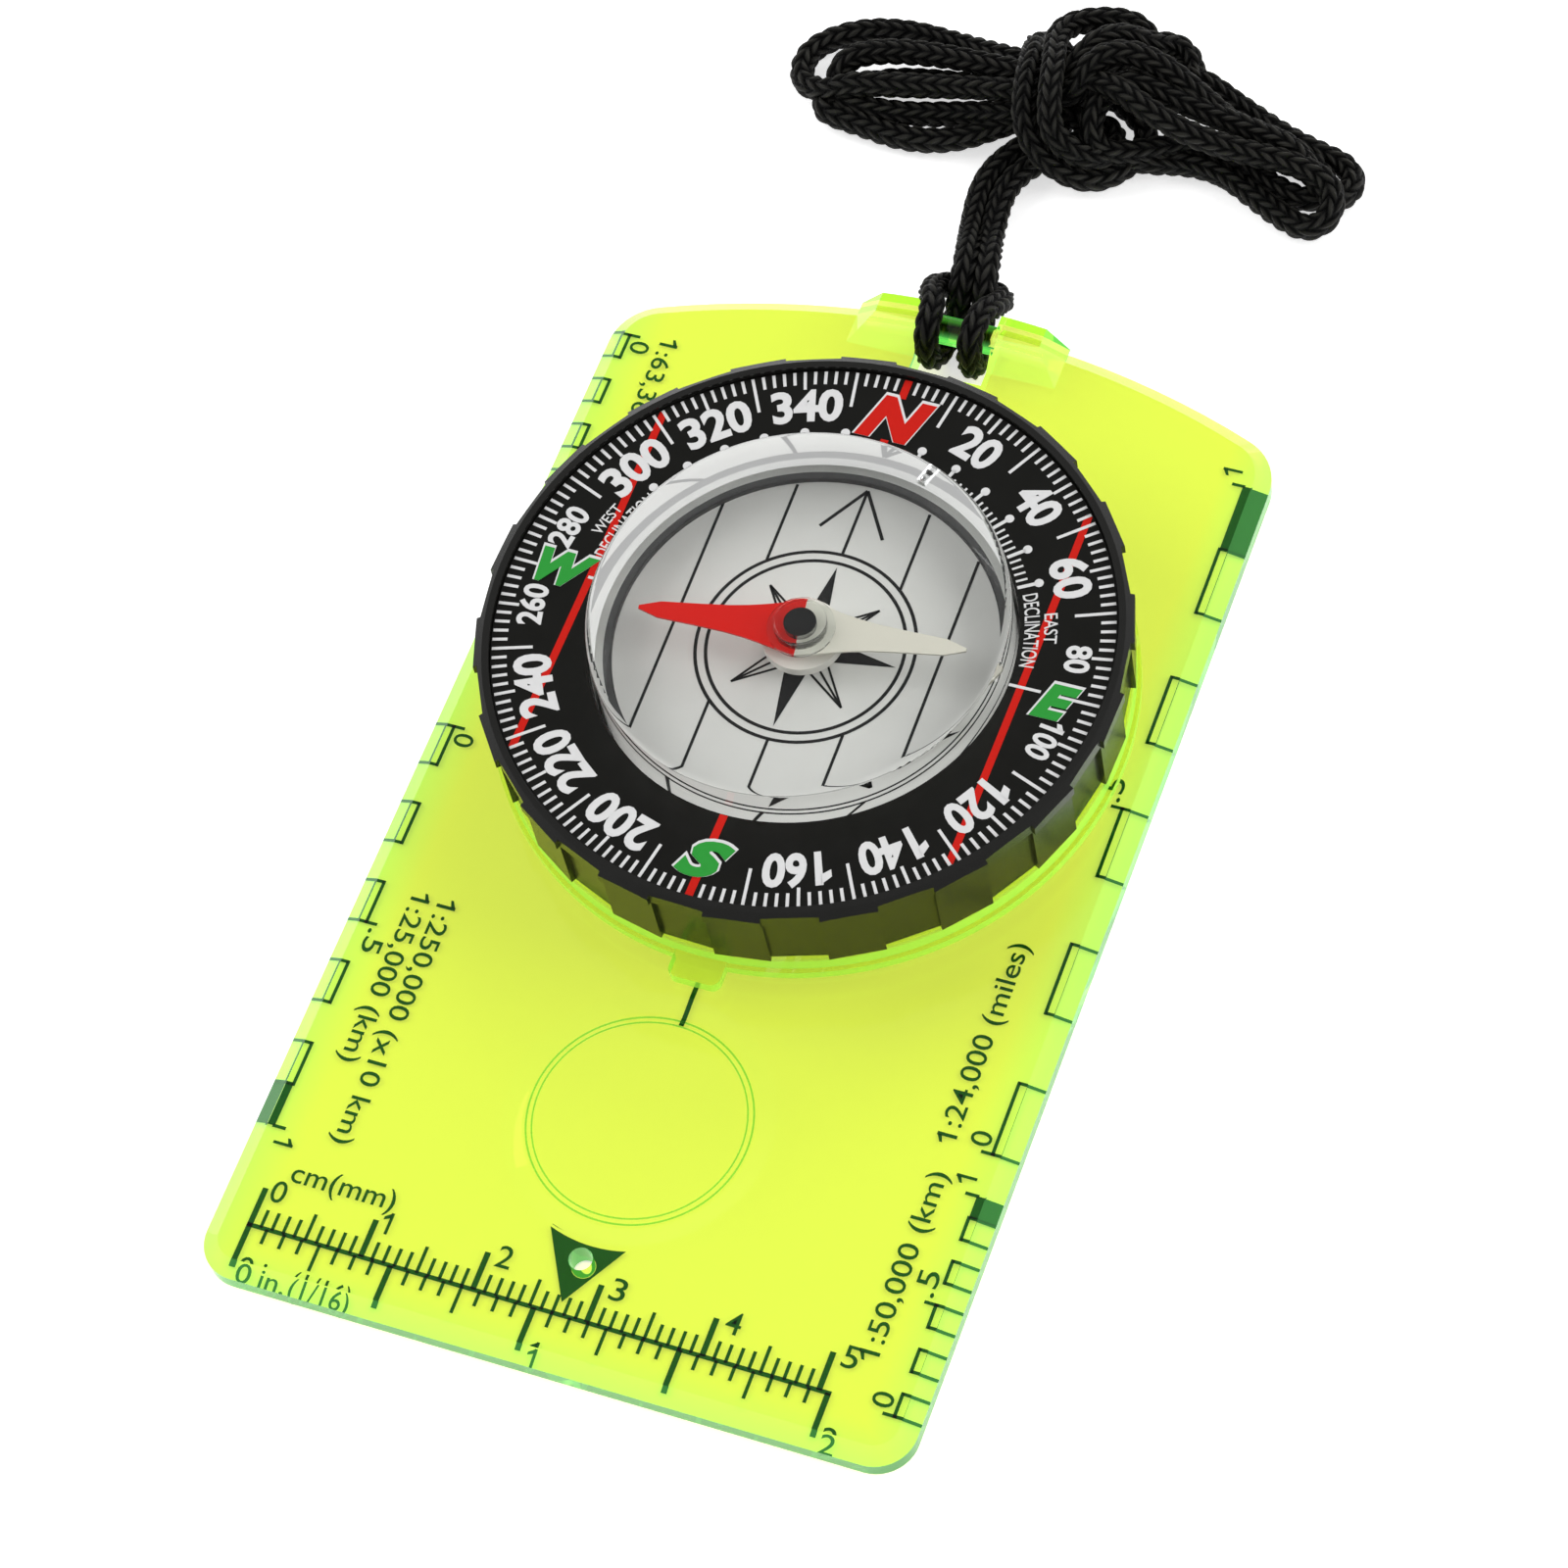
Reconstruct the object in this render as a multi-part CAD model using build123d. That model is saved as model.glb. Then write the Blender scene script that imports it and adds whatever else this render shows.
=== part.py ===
from build123d import *
import os
from math import cos, pi, radians, sin, tan

os.makedirs("parts", exist_ok=True)

# Frame: X right, Y forward (direction of travel, towards the lanyard), Z up.
# Origin: centre of the plate's flat underside.  All sizes in millimetres.

# ---- baseplate ------------------------------------------------------------
plate_width = 62.0
plate_length = 105.2
plate_thick = 2.5
rear_arc_radius = 77.0        # the forward edge is one long shallow arc
front_corner_radius = 3.5
rear_corner_radius = 5.0
bevel_width = 1.4
bevel_drop = 1.0

lens_y = -29.7                # moulded magnifier
lens_radius = 9.8
lens_dish_radius = 11.5
lens_dish_depth = 0.5
lens_sag = 0.9

marking_hole_y = -42.9        # hole for a pencil point
marking_hole_radius = 1.0

# ---- lanyard bar and its two cleats ---------------------------------------
slot_half_width = 3.4
slot_front_y = 46.3
bar_front_y = 49.3
bar_rear_y = 51.9
bar_bottom = 2.4
bar_top = 4.3
cleat_outer_x = 9.8
cleat_top_x = 7.7
cleat_front_y = 47.7
cleat_ridge_y = 50.2
cleat_top = 4.5

# ---- compass housing: everything turns on one upright axis ----------------
dial_y = 12.8
hole_radius = 21.9
recess_radius = 24.1          # counterbore under the plate for the retaining ring
recess_depth = 1.1

index_ring_inner = 24.6
index_ring_outer = 27.9
index_ring_top = 4.6
tab_width = 4.6
tab_reach = 29.9              # radius of the tab's free edge
tab_top = 3.6

glide_inner = 22.3            # low-friction washer the bezel turns on
glide_outer = 24.2
glide_top = 3.1

retainer_inner = 19.9
retainer_outer = 23.9
retainer_bottom = 0.25
retainer_top = 0.95

# ---- azimuth bezel ----------------------------------------------------------
lug_count = 18
lug_first_angle = 12.0        # clockwise from +Y, centre of a lug
skirt_low_radius = 27.2
skirt_lug_radius = 27.65
crown_low_radius = 27.65
crown_lug_radius = 28.0
skirt_bottom = 4.9
crown_bottom = 11.0
bezel_top = 12.4
crest_radius = 27.2           # the crown slopes down outside this
crown_shoulder = 11.95
rim_inner = 26.6
web_outer_z = 11.45           # the dial's seat falls slightly inwards
web_inner_z = 11.19
bezel_bore = 18.2
sleeve_bore = 20.2
sleeve_outer = 21.8
shoulder_radius = 24.2
shoulder_z = 3.2
skirt_inner = 25.9
groove_top = 9.0
flange_seat_z = 5.6

dial_inner = 18.35
dial_outer = 26.5
dial_thick = 0.5

clip_inner = 16.6
clip_bottom = 3.0
clip_top = 4.1

# ---- liquid capsule ---------------------------------------------------------
capsule_radius = 17.9
capsule_top = 15.5
cavity_radius = 16.4
floor_bottom = 4.8
floor_top = 6.0
joint_z = 6.9                 # cover meets cup
lid_bottom = 14.3
flange_radius = 20.1
flange_bottom = 4.2
flange_top = 5.5
seal_inner = 16.5
seal_outer = 17.2
plug_radius = 0.55
plug_angle = 18.3             # clockwise from +Y
plug_z = 12.3

# ---- needle -----------------------------------------------------------------
needle_angle = 7.0            # white end, anticlockwise from +X
needle_half_width = 2.75
needle_side = [                # distance from the pivot and half width there
    (14.2, 0.15),
    (12.4, 0.78),
    (9.0, 1.06),
    (6.5, 1.3),
    (4.8, 1.57),
    (3.2, 1.93),
    (1.6, 2.36),
]
blade_bottom = 10.3
blade_top = 10.6
hub_radius = 2.3
hub_flange_radius = 2.9
hub_flange_top = 11.0
hub_top = 12.4
jewel_radius = 1.4
jewel_top = 12.1
pin_radius = 0.5
pin_tip = 11.3
pin_shoulder = 9.9
disc_radius = 3.5
disc_bottom = 7.6
disc_top = 9.0
disc_boss_radius = 1.7
disc_bore = 0.9

# ---- lanyard ----------------------------------------------------------------
cord_d = 2.2
cord_z = 1.15                 # lying on the table
strand_z = 3.7                # where the two strands cross over the bight
over_bar_z = 5.7
over_bar_y = 52.6
leg_x = 2.0                   # the two legs of the hitch, either side of centre
leg_y = 47.95                 # centre of the cord where it drops through the slot
bight_y = 57.4


def to_dial(part):
    return Pos(0, dial_y, 0) * part


def turned(points):
    """Solid of revolution about Z from (radius, height) points."""
    return revolve(Plane.XZ * make_face(Polyline(*points, close=True)), Axis.Z)


def ring(inner, outer, bottom, top):
    return turned([(inner, bottom), (outer, bottom), (outer, top), (inner, top)])


def disc(radius, bottom, top):
    return Pos(0, 0, bottom) * extrude(Circle(radius), top - bottom)


def plate_outline():
    """Straight sides, straight near edge, and one shallow arc on the far edge."""
    half_w = plate_width / 2
    half_l = plate_length / 2
    arc_y = half_l - (rear_arc_radius**2 - slot_half_width**2) ** 0.5
    side_y = arc_y + (rear_arc_radius**2 - half_w**2) ** 0.5
    left = Line((-half_w, side_y), (-half_w, -half_l))
    near = Line((-half_w, -half_l), (half_w, -half_l))
    right = Line((half_w, -half_l), (half_w, side_y))
    far = ThreePointArc((half_w, side_y), (0, arc_y + rear_arc_radius), (-half_w, side_y))
    face = make_face([left, near, right, far])
    far_corners = [v for v in face.vertices() if abs(v.X) > half_w - 0.01 and v.Y > 0]
    face = fillet(far_corners, rear_corner_radius)
    near_corners = face.vertices().group_by(Axis.Y)[0]
    near_corners = [v for v in near_corners if abs(abs(v.X) - half_w) < 0.01]
    return fillet(near_corners, front_corner_radius)


def cleat(side):
    """Wedge beside the lanyard slot: ramps up from the dial and from its outer end."""
    rear = plate_length / 2
    side_view = Polyline(
        (cleat_front_y, plate_thick - 0.2),
        (cleat_front_y, plate_thick),
        (cleat_ridge_y, cleat_top),
        (rear, cleat_top),
        (rear, plate_thick - 0.2),
        close=True,
    )
    ramp = extrude(Plane.YZ * make_face(side_view), cleat_outer_x)
    end_view = Polyline(
        (slot_half_width, 0),
        (cleat_outer_x, 0),
        (cleat_outer_x, plate_thick),
        (cleat_top_x, cleat_top),
        (slot_half_width, cleat_top),
        close=True,
    )
    ends = Pos(0, rear + 1, 0) * extrude(Plane.XZ * make_face(end_view), 12)
    wedge = ramp & ends
    return wedge if side > 0 else mirror(wedge, Plane.YZ)


def lanyard_bar():
    """Rounded cross bar, high enough for the cord to pass under it above the table."""
    width = 2 * slot_half_width + 0.6
    depth = bar_rear_y - bar_front_y
    height = bar_top - bar_bottom
    centre = Pos(0, (bar_front_y + bar_rear_y) / 2, (bar_bottom + bar_top) / 2)
    bar = centre * Box(width, depth, height)
    return fillet(bar.edges().filter_by(Axis.X), 0.85)


def baseplate():
    outline = plate_outline()
    plate = extrude(outline, plate_thick)
    top_edges = plate.faces().sort_by(Axis.Z)[-1].outer_wire().edges()
    plate = chamfer(top_edges, bevel_drop, bevel_width)
    lens_seat = turned([
        (0, plate_thick + 1),
        (0, plate_thick - lens_dish_depth),
        (lens_radius, plate_thick - lens_dish_depth),
        (lens_dish_radius, plate_thick),
        (lens_dish_radius, plate_thick + 1),
    ])
    plate -= Pos(0, lens_y, 0) * lens_seat
    sphere_radius = (lens_radius**2 + lens_sag**2) / (2 * lens_sag)
    lens_base = plate_thick - lens_dish_depth
    dome = Pos(0, 0, lens_base + lens_sag - sphere_radius) * Sphere(sphere_radius)
    dome &= disc(lens_radius, lens_base - 0.5, lens_base + lens_sag)
    plate += Pos(0, lens_y, 0) * dome
    slot_depth = plate_length / 2 + 2 - slot_front_y
    slot_y = slot_front_y + slot_depth / 2
    plate -= Pos(0, slot_y, 0) * Box(2 * slot_half_width, slot_depth, 4 * plate_thick)
    limits = extrude(outline, cleat_top + 1)
    for side in (-1, 1):
        plate += cleat(side) & limits
    plate += lanyard_bar()
    plate -= to_dial(disc(hole_radius, -1, plate_thick + 1))
    plate -= to_dial(disc(recess_radius, -1, recess_depth))
    plate -= Pos(0, marking_hole_y, 0) * disc(marking_hole_radius, -1, plate_thick + 1)
    return plate


def index_ring():
    """Clear collar welded on the plate, with the tab that carries the index mark."""
    collar = turned([
        (index_ring_inner, plate_thick),
        (index_ring_outer, plate_thick),
        (index_ring_outer, plate_thick + 0.9),
        (index_ring_outer - 0.35, plate_thick + 1.0),
        (index_ring_outer - 0.5, index_ring_top - 0.15),
        (index_ring_outer - 0.65, index_ring_top),
        (index_ring_inner, index_ring_top),
    ])
    reach = tab_reach - index_ring_inner - 1
    tab = Box(tab_width, reach, tab_top - plate_thick)
    tab = Pos(0, -tab_reach + reach / 2, (tab_top + plate_thick) / 2) * tab
    free_corners = tab.edges().filter_by(Axis.Z).group_by(Axis.Y)[0]
    tab = fillet(free_corners, 0.8)
    tab -= disc(index_ring_inner, 0, 10)
    return to_dial(collar + tab)


def notched_outline(high, low):
    """Flat-sided rim: lugs and gaps of equal angle, stepped between two radii."""
    step = 360 / lug_count
    points = []
    for i in range(lug_count):
        middle = lug_first_angle + i * step
        for radius, offset in (
            (low, -step / 4),
            (high, -step / 4),
            (high, step / 4),
            (low, step / 4),
        ):
            angle = radians(90 - middle - offset)
            points.append((radius * cos(angle), radius * sin(angle)))
    return make_face(Polyline(*points, close=True))


def bezel_ring():
    skirt_height = crown_bottom - skirt_bottom
    crown_height = bezel_top - crown_bottom
    skirt = extrude(notched_outline(skirt_lug_radius, skirt_low_radius), skirt_height)
    crown = extrude(notched_outline(crown_lug_radius, crown_low_radius), crown_height)
    body = Pos(0, 0, skirt_bottom) * skirt + Pos(0, 0, crown_bottom) * crown
    envelope = turned([
        (0, 0),
        (crown_lug_radius, 0),
        (crown_lug_radius, crown_shoulder),
        (crest_radius, bezel_top),
        (0, bezel_top),
    ])
    body &= envelope
    body += ring(sleeve_outer - 2, shoulder_radius, shoulder_z, skirt_bottom)
    body += disc(sleeve_outer, retainer_top, shoulder_z + 1)
    body -= turned([                       # dial seat and the bore above the flange
        (0, bezel_top + 1),
        (rim_inner, bezel_top + 1),
        (rim_inner, web_outer_z),
        (bezel_bore, web_inner_z),
        (bezel_bore, flange_seat_z),
        (0, flange_seat_z),
    ])
    body -= disc(sleeve_bore, 0, flange_seat_z)
    body -= ring(shoulder_radius, skirt_inner, 0, groove_top)   # moulding groove
    return to_dial(body)


def dial_plate():
    """Printed ring on the bezel's conical seat."""
    slope = (web_outer_z - web_inner_z) / (rim_inner - bezel_bore)
    low = web_inner_z + slope * (dial_inner - bezel_bore)
    high = web_inner_z + slope * (dial_outer - bezel_bore)
    return to_dial(turned([
        (dial_inner, low),
        (dial_outer, high),
        (dial_outer, high + dial_thick),
        (dial_inner, low + dial_thick),
    ]))


def glide_washer():
    return to_dial(ring(glide_inner, glide_outer, plate_thick, glide_top))


def retaining_ring():
    return to_dial(ring(retainer_inner, retainer_outer, retainer_bottom, retainer_top))


def capsule_clip():
    return to_dial(ring(clip_inner, sleeve_bore, clip_bottom, clip_top))


def capsule_cup():
    cup = disc(capsule_radius, floor_bottom, joint_z)
    cup -= disc(seal_outer, floor_top, joint_z + 1)
    cup += ring(clip_inner + 0.4, flange_radius, flange_bottom, flange_top)
    cup -= disc(pin_radius, floor_bottom + 0.3, floor_top + 1)
    return to_dial(cup)


def plug_centre():
    angle = radians(90 - plug_angle)
    radius = (capsule_radius + cavity_radius) / 2
    return Pos(radius * cos(angle), radius * sin(angle), plug_z)


def capsule_cover():
    cover = turned([
        (0, lid_bottom),
        (cavity_radius - 0.6, lid_bottom),
        (cavity_radius, lid_bottom - 0.6),
        (cavity_radius, joint_z),
        (capsule_radius, joint_z),
        (capsule_radius, capsule_top),
        (0, capsule_top),
    ])
    cover = fillet(cover.edges().filter_by(GeomType.CIRCLE).sort_by(Axis.Z)[-1], 0.5)
    bore = Rot(0, 0, 90 - plug_angle) * Rot(0, 90, 0) * Cylinder(plug_radius, 6)
    return to_dial(cover - plug_centre() * bore)


def capsule_seal():
    return to_dial(ring(seal_inner, seal_outer, floor_top, joint_z - 0.05))


def filler_plug():
    return to_dial(plug_centre() * Sphere(plug_radius))


def pivot_pin():
    return to_dial(turned([
        (0, floor_bottom + 0.3),
        (pin_radius, floor_bottom + 0.3),
        (pin_radius, pin_shoulder),
        (0.06, pin_tip),
        (0, pin_tip),
    ]))


def needle_blade():
    """Leaf-shaped: widest at the hub, its sides curving in towards two blunt tips."""
    corners = [(x, y) for x, y in needle_side] + [(0, needle_half_width)]
    corners += [(-x, y) for x, y in reversed(needle_side)]
    corners += [(-x, -y) for x, y in needle_side] + [(0, -needle_half_width)]
    corners += [(x, -y) for x, y in reversed(needle_side)]
    outline = Polyline(*corners, close=True)
    blade = extrude(make_face(outline), blade_top - blade_bottom)
    blade = Pos(0, 0, blade_bottom) * Rot(0, 0, needle_angle) * blade
    blade -= disc(jewel_radius, blade_bottom - 1, blade_top + 1)
    return to_dial(blade)


def needle_hub():
    hub = disc(hub_radius, blade_top, hub_top)
    hub += disc(hub_flange_radius, blade_top, hub_flange_top)
    hub -= disc(jewel_radius, blade_top - 1, jewel_top)
    top_edge = hub.edges().filter_by(GeomType.CIRCLE).sort_by(Axis.Z)[-1]
    return to_dial(fillet(top_edge, 0.25))


def needle_jewel():
    """Bearing cup: a blunt cone from below receives the pivot's point."""
    return to_dial(turned([
        (disc_bore, blade_bottom),
        (jewel_radius, blade_bottom),
        (jewel_radius, jewel_top),
        (0, jewel_top),
        (0, pin_tip + 0.06),
        (0.25, pin_tip - 0.1),
    ]))


def needle_disc():
    body = disc(disc_radius, disc_bottom, disc_top)
    body += disc(disc_boss_radius, disc_bottom, blade_bottom)
    body -= disc(disc_bore, disc_bottom - 1, blade_bottom + 1)
    return to_dial(body)


def cord(points):
    """Round cord along straight runs joined by tangent arcs."""
    runs = []
    for a, b in zip(points, points[1:]):
        runs.append((Vector(*b) - Vector(*a)))
    radii = []
    for first, second in zip(runs, runs[1:]):
        half_turn = radians(first.get_angle(second)) / 2
        radii.append(0.45 * min(first.length, second.length) / tan(half_turn))
    path = FilletPolyline(*points, radius=radii)
    section = Plane(path @ 0, z_dir=path % 0) * Circle(cord_d / 2)
    tube = sweep(section, path=path, transition=Transition.ROUND)
    length = sum(edge.length for edge in path.edges())
    ratio = tube.volume / (length * pi * cord_d**2 / 4)
    print("cord bend radii", [round(r, 2) for r in radii])
    print("cord length", round(length, 1), "volume ratio", round(ratio, 4))
    return tube


def lanyard_hitch():
    """Lark's head: strands, over the bight, under the bar, up the slot, over the bar."""
    left_strand = [
        (-1.6, 74.8, cord_z),
        (-4.2, 68.9, cord_z),
        (-3.8, 62.8, cord_z),
        (-2.1, 58.8, strand_z),
        (-1.5, 55.8, strand_z),
        (-1.3, 52.7, cord_z),
    ]
    right_strand = [
        (1.3, 52.7, cord_z),
        (0.9, 55.8, strand_z),
        (0.2, 58.9, strand_z),
        (-1.4, 63.2, cord_z),
        (-1.8, 68.0, cord_z),
        (1.2, 73.6, cord_z),
    ]
    left_leg = [
        (-leg_x, leg_y, cord_z),
        (-leg_x, leg_y, over_bar_z),
        (-2.2, over_bar_y, over_bar_z + 0.1),
        (-4.3, 55.8, 3.4),
        (-3.6, bight_y, cord_z),
    ]
    right_leg = [
        (2.4, bight_y, cord_z),
        (3.7, 55.8, 3.4),
        (2.2, over_bar_y, over_bar_z + 0.1),
        (leg_x, leg_y, over_bar_z),
        (leg_x, leg_y, cord_z),
    ]
    return cord(left_strand + left_leg + right_leg + right_strand)


def flattened(outline, height):
    """Bundle of cord lying on the table: a smooth outline, smaller towards its top."""
    middle_x = sum(x for x, y in outline) / len(outline)
    middle_y = sum(y for x, y in outline) / len(outline)
    layers = []
    for size, z in ((0.96, 0), (1.0, height * 0.45), (0.84, height)):
        rim = [
            (middle_x + size * (x - middle_x), middle_y + size * (y - middle_y))
            for x, y in outline
        ]
        layers.append(Pos(0, 0, z) * make_face(Spline(*rim, periodic=True)))
    return loft(layers, ruled=True)


def lanyard_knot():
    outline = [
        (-4.2, 79.0),
        (-1.0, 86.2),
        (5.5, 88.0),
        (13.5, 83.2),
        (12.8, 77.3),
        (4.0, 72.4),
    ]
    return flattened(outline, 6.6)


def lanyard_hank_left():
    outline = [
        (-5.6, 82.6),
        (-14.0, 83.2),
        (-23.6, 79.6),
        (-22.6, 74.4),
        (-13.0, 71.0),
        (-5.4, 73.6),
    ]
    return flattened(outline, 4.4)


def lanyard_hank_right():
    outline = [
        (14.8, 82.6),
        (21.5, 80.6),
        (28.0, 76.0),
        (26.4, 70.4),
        (19.6, 71.6),
        (14.6, 76.2),
    ]
    return flattened(outline, 4.4)


nodes = {
    "baseplate": baseplate,
    "index_ring": index_ring,
    "glide_washer": glide_washer,
    "bezel_ring": bezel_ring,
    "dial_plate": dial_plate,
    "retaining_ring": retaining_ring,
    "capsule_clip": capsule_clip,
    "capsule_cup": capsule_cup,
    "capsule_cover": capsule_cover,
    "capsule_seal": capsule_seal,
    "filler_plug": filler_plug,
    "pivot_pin": pivot_pin,
    "needle_blade": needle_blade,
    "needle_hub": needle_hub,
    "needle_jewel": needle_jewel,
    "needle_disc": needle_disc,
    "lanyard_hitch": lanyard_hitch,
    "lanyard_knot": lanyard_knot,
    "lanyard_hank_left": lanyard_hank_left,
    "lanyard_hank_right": lanyard_hank_right,
}

for name, make in nodes.items():
    part = make()
    print(name, "solids", len(part.solids()), "valid", part.is_valid, "mm3", round(part.volume, 2))
    export_step(part, f"parts/{name}.step")
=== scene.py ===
"""Baseplate compass with its cord lanyard: the looks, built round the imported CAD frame."""

import math

import bmesh
import bpy
import numpy as np
from mathutils import Euler, Matrix, Vector


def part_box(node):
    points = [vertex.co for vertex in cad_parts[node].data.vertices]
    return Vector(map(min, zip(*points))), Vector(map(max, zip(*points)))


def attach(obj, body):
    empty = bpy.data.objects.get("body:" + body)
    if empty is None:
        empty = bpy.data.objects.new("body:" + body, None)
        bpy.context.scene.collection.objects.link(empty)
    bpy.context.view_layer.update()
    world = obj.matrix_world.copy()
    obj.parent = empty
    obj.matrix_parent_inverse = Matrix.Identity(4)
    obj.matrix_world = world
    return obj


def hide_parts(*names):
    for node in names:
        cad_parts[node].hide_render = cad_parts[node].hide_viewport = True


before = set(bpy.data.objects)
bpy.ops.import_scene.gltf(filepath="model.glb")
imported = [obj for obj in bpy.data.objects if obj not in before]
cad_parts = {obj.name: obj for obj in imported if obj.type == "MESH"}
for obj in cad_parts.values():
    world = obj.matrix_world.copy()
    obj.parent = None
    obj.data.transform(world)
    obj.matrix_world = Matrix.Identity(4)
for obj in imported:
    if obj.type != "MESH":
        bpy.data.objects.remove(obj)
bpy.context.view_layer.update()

MM = 0.001
INCH = 25.4

# ==== places taken from the frame =================================================
plate_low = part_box("baseplate")[0]
bezel_low, bezel_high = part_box("bezel_ring")
dial_low, dial_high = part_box("dial_plate")
dial_centre = (bezel_low + bezel_high) / 2      # every round part turns about this axis
dial_x, dial_y = dial_centre.x / MM, dial_centre.y / MM

# ==== sizes, in millimetres =======================================================
ink_thick = 0.02
lens_centre = (0, -29.7)          # moulded magnifier
pencil_hole = (0, -42.9)          # marking hole in the filled pointer
cavity_radius = 16.4              # the oil inside the capsule
cavity_floor = 6.0
cavity_roof = 14.3
dial_inner = 18.35
dial_outer = 26.5

collection = bpy.context.scene.collection


# ==== camera ======================================================================
def make_camera():
    data = bpy.data.cameras.new("camera")
    data.lens = 113.87
    data.sensor_width = 36
    data.clip_start = 0.01
    data.clip_end = 10
    camera = bpy.data.objects.new("camera", data)
    camera.location = Vector((117.0, -180.2, 361.2)) * MM
    camera.rotation_euler = Euler([math.radians(a) for a in (30.4247, 7.2875, 20.2036)])
    collection.objects.link(camera)
    bpy.context.scene.camera = camera


make_camera()


# ==== materials ===================================================================
acrylic_ior = 1.49
cream_angle = 7          # the needle's cream end points this far anticlockwise of +X


def new_material(name):
    material = bpy.data.materials.new(name)
    material.use_nodes = True
    tree = material.node_tree
    return material, tree, tree.nodes["Principled BSDF"]


def settle(node, **values):
    """Sets a node's sockets by name, with underscores for spaces."""
    for key, value in values.items():
        node.inputs[key.replace("_", " ")].default_value = value


def link(tree, source, target):
    tree.links.new(source, target)


def maths(tree, operation, first, second=None):
    """A maths node fed by sockets or by a plain number."""
    node = tree.nodes.new("ShaderNodeMath")
    node.operation = operation
    for socket, value in zip(node.inputs, (first, second)):
        if isinstance(value, float):
            socket.default_value = value
        elif value is not None:
            link(tree, value, socket)
    return node.outputs[0]


def parts_of(tree, vector):
    """A vector's X, Y and Z."""
    split = tree.nodes.new("ShaderNodeSeparateXYZ")
    link(tree, vector, split.inputs[0])
    return split.outputs


def see_through(tree, colour=(1, 1, 1)):
    node = tree.nodes.new("ShaderNodeBsdfTransparent")
    node.inputs["Color"].default_value = (*colour, 1)
    return node.outputs[0]


def mixed(tree, share, first, second):
    """One shader turning into another as the share goes from 0 to 1."""
    node = tree.nodes.new("ShaderNodeMixShader")
    for socket, value in zip(node.inputs, (share, first, second)):
        link(tree, value, socket)
    return node.outputs[0]


def summed(tree, first, second):
    """Two shaders on top of each other."""
    node = tree.nodes.new("ShaderNodeAddShader")
    link(tree, first, node.inputs[0])
    link(tree, second, node.inputs[1])
    return node.outputs[0]


def coordinates(tree):
    """Object coordinates in millimetres."""
    place = tree.nodes.new("ShaderNodeTexCoord")
    stretch = tree.nodes.new("ShaderNodeVectorMath")
    stretch.operation = "SCALE"
    stretch.inputs["Scale"].default_value = 1 / MM
    link(tree, place.outputs["Object"], stretch.inputs[0])
    return stretch.outputs[0]


def noise(tree, scale, detail=4.0, roughness=0.5):
    """Noise with features about 1/scale millimetres across."""
    node = tree.nodes.new("ShaderNodeTexNoise")
    settle(node, Scale=scale, Detail=detail, Roughness=roughness)
    link(tree, coordinates(tree), node.inputs["Vector"])
    return node.outputs["Fac"]


def ramp(tree, source, low, high, start=0.0, end=1.0):
    """Maps a value onto a range of numbers."""
    node = tree.nodes.new("ShaderNodeMapRange")
    settle(node, From_Min=start, From_Max=end, To_Min=low, To_Max=high)
    link(tree, source, node.inputs["Value"])
    return node.outputs["Result"]


def tinted(tree, source, dark, light):
    """Blends two colours by a value."""
    node = tree.nodes.new("ShaderNodeMix")
    node.data_type = "RGBA"
    node.inputs["A"].default_value = (*dark, 1)
    node.inputs["B"].default_value = (*light, 1)
    link(tree, source, node.inputs["Factor"])
    return node.outputs["Result"]


def bump(tree, shader, height, depth):
    """Relief of the given depth in millimetres."""
    node = tree.nodes.new("ShaderNodeBump")
    settle(node, Strength=1.0, Distance=depth * MM)
    link(tree, height, node.inputs["Height"])
    link(tree, node.outputs["Normal"], shader.inputs["Normal"])


def upright(tree, start, end):
    """1 on walls and slopes, 0 on level faces."""
    geometry = tree.nodes.new("ShaderNodeNewGeometry")
    level = maths(tree, "ABSOLUTE", parts_of(tree, geometry.outputs["True Normal"])["Z"])
    return ramp(tree, level, 1, 0, start, end)


def lets_light_through(tree, surface, colour):
    """Lamps and bounced light pass straight through, so that what is beneath is lit."""
    path = tree.nodes.new("ShaderNodeLightPath").outputs
    lighting = maths(tree, "MAXIMUM", path["Is Shadow Ray"], path["Is Diffuse Ray"])
    surface = mixed(tree, lighting, surface, see_through(tree, colour))
    link(tree, surface, tree.nodes["Material Output"].inputs["Surface"])


def fluorescent_plastic(name, tint, edge_light_tint, glow, glow_strength):
    """Clear yellow-green acrylic, with painted light: greener towards the plate's edges, for the
    light its edges gather, and a painted glow on its slopes.
    """
    side_start, side_end = 26.5, 30.5          # where the greener painted edge light starts and is full
    front_start, front_end = -49.0, -52.4
    material, tree, shader = new_material(name)
    settle(shader, Transmission_Weight=1.0, IOR=acrylic_ior)
    place = parts_of(tree, coordinates(tree))
    # painted light: the tint turns greener within a few millimetres of the sides and the near
    # edge, standing in for light the edges gather
    aside = ramp(tree, maths(tree, "ABSOLUTE", place["X"]), 0, 1, side_start, side_end)
    in_front = ramp(tree, place["Y"], 0, 1, front_start, front_end)
    edge_light = maths(tree, "MAXIMUM", aside, in_front)
    link(tree, tinted(tree, edge_light, tint, edge_light_tint), shader.inputs["Base Color"])
    scuffs = noise(tree, 0.9, 6, 0.62)
    link(tree, ramp(tree, scuffs, 0.0, 0.035, 0.45, 0.8), shader.inputs["Roughness"])
    bump(tree, shader, noise(tree, 0.16, 2), 0.02)
    # painted glow: emission added on the slopes and walls, standing in for light gathered in the
    # edges
    light = tree.nodes.new("ShaderNodeEmission")
    settle(light, Color=(*glow, 1), Strength=glow_strength)
    glowing = summed(tree, shader.outputs[0], light.outputs[0])
    surface = mixed(tree, upright(tree, 0.55, 0.97), shader.outputs[0], glowing)
    lets_light_through(tree, surface, [c ** 0.5 for c in tint])
    return material


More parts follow.
